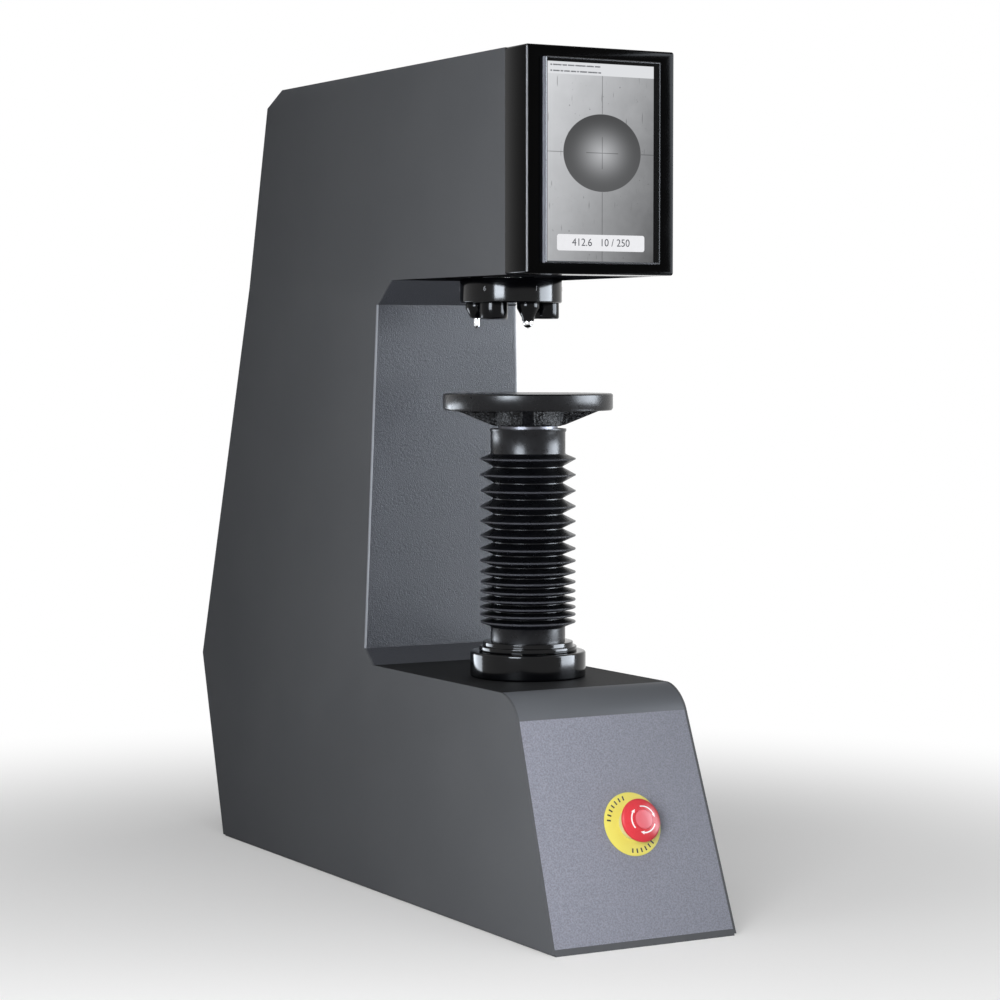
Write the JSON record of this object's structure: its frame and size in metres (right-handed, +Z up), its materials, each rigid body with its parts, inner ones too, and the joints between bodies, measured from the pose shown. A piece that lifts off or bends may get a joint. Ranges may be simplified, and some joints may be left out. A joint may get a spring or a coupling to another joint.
{
  "type": "hardness tester",
  "caption": "Bench hardness tester with a C-shaped body, touch display in the head, indexing turret of indenters and objectives, and an anvil on a motor-driven spindle with a bellows.",
  "frame": {"origin": "on the load axis, at the underside of the base plate", "axes": "+Z up along the load axis, -Y to the front where the display and the emergency stop are, +X to the operator's right when facing the machine"},
  "size_m": [0.198, 0.801, 0.823],
  "materials": {
    "cover_grey": "satin dark grey powder coat",
    "cover_blue_grey": "fine textured blue-grey powder coat",
    "cover_black": "fine textured near-black powder coat",
    "casting": "primed casting",
    "gloss_black": "gloss black",
    "screen": "lit screen behind glass",
    "light_alloy": "fine satin",
    "black_steel": "black-oxide finish",
    "bright_steel": "ground",
    "bronze": "turned",
    "bellows_rubber": "matt moulded rubber",
    "belt_rubber": "matt",
    "motor_black": "satin black",
    "board_green": "solder mask",
    "black_plastic": "matt",
    "stop_yellow": "matt",
    "stop_red": "satin"
  },
  "bodies": {
    "frame": {"base_front_cover": "cover_blue_grey", "base_plate": "cover_black", "base_top_cover": "cover_black", "bearing_housing": "casting", "bellows_clamp": "black_steel", "camera_module": "motor_black", "cast_frame": "casting", "column_front_cover": "cover_blue_grey", "control_board": "board_green", "display_bezel": "gloss_black", "display_glass": "screen", "display_module": "light_alloy", "drive_belt": "belt_rubber", "electronics_plate": "light_alloy", "estop_collar": "stop_yellow", "estop_contacts": "black_plastic", "estop_label": "stop_yellow", "estop_nut": "bright_steel", "guide_bush": "bronze", "head_floor_cover": "cover_black", "head_top_cover": "cover_grey", "left_side_cover": "cover_grey", "lift_motor": "motor_black", "load_bracket": "casting", "load_motor": "motor_black", "motor_bracket": "light_alloy", "power_inlet": "black_plastic", "power_supply": "bright_steel", "rear_base_cover": "cover_grey", "rear_lower_cover": "cover_grey", "rear_upper_cover": "cover_grey", "right_side_cover": "cover_grey", "spindle_collar": "gloss_black", "thrust_bearing": "bright_steel", "turret_bearing": "bright_steel", "turret_housing": "casting", "turret_motor": "motor_black"},
    "spindle": {"lead_screw": "bright_steel", "spindle_head": "black_steel", "bellows": "bellows_rubber"},
    "anvil": {"anvil": "black_steel", "anvil_stem": "bright_steel"},
    "drive_nut": {"spindle_nut": "bronze", "nut_pulley": "bright_steel"},
    "motor_pulley": {"motor_pulley": "bright_steel"},
    "turret": {"turret_drum": "black_steel", "turret_shaft": "bright_steel", "objective_b": "black_steel", "objective_d": "black_steel", "objective_f": "black_steel"},
    "indenter_a": {"indenter_a": "bright_steel"},
    "indenter_c": {"indenter_c": "bright_steel", "indenter_ball": "bright_steel"},
    "indenter_e": {"indenter_e": "bright_steel"},
    "load_train": {"load_ram": "bright_steel", "load_cell": "light_alloy", "load_screw": "bright_steel"},
    "estop_stem": {"estop_stem": "black_plastic"},
    "estop_head": {"estop_mushroom": "stop_red"},
    "power_rocker": {"power_rocker": "black_plastic"}
  },
  "joints": [
    {"name": "spindle_lift", "type": "slide", "parent": "frame", "child": "spindle", "axis": [0, 0, 1], "range_m": [-0.1, 0.055], "deforming": ["bellows"]},
    {"name": "anvil_swivel", "type": "hinge", "parent": "spindle", "child": "anvil", "pos_m": [0, 0, 0.4704], "axis": [0, 0, 1], "continuous": true},
    {"name": "nut_turn", "type": "hinge", "parent": "frame", "child": "drive_nut", "pos_m": [0, 0, 0.175], "axis": [0, 0, 1], "range_deg": [-2000, 3620]},
    {"name": "motor_turn", "type": "hinge", "parent": "frame", "child": "motor_pulley", "pos_m": [0, 0.13, 0.175], "axis": [0, 0, 1], "range_deg": [-5000, 9050]},
    {"name": "turret_turn", "type": "hinge", "parent": "frame", "child": "turret", "pos_m": [0, 0.0336, 0.602], "axis": [0, 0, 1], "continuous": true},
    {"name": "indenter_c_stroke", "type": "slide", "parent": "turret", "child": "indenter_c", "axis": [0, 0, -1], "range_m": [0, 0.005], "stiffness_N_per_m": 2000, "springref_m": -0.002},
    {"name": "indenter_e_stroke", "type": "slide", "parent": "turret", "child": "indenter_e", "axis": [0, 0, -1], "range_m": [0, 0.005], "stiffness_N_per_m": 2000, "springref_m": -0.002},
    {"name": "indenter_a_stroke", "type": "slide", "parent": "turret", "child": "indenter_a", "axis": [0, 0, -1], "range_m": [0, 0.005], "stiffness_N_per_m": 2000, "springref_m": -0.002},
    {"name": "load_stroke", "type": "slide", "parent": "frame", "child": "load_train", "axis": [0, 0, -1], "range_m": [0, 0.006]},
    {"name": "estop_press", "type": "slide", "parent": "frame", "child": "estop_stem", "axis": [0, 0.9352, -0.3542], "range_m": [0, 0.004], "stiffness_N_per_m": 3000, "springref_m": -0.002},
    {"name": "estop_twist", "type": "hinge", "parent": "estop_stem", "child": "estop_head", "pos_m": [0.0088, -0.17796, 0.1057], "axis": [0, 0.9352, -0.3542], "range_deg": [0, 45], "stiffness_Nm_per_rad": 0.05, "springref_deg": -11.46},
    {"name": "rocker_tip", "type": "hinge", "parent": "frame", "child": "power_rocker", "pos_m": [-0.03, 0.54762, 0.11708], "axis": [1, 0, 0], "range_deg": [0, 16]}
  ],
  "couplings": [
    {"joint": "nut_turn", "follows": "spindle_lift", "rad_per_m": -628.32},
    {"joint": "motor_turn", "follows": "spindle_lift", "rad_per_m": -1570.8}
  ]
}
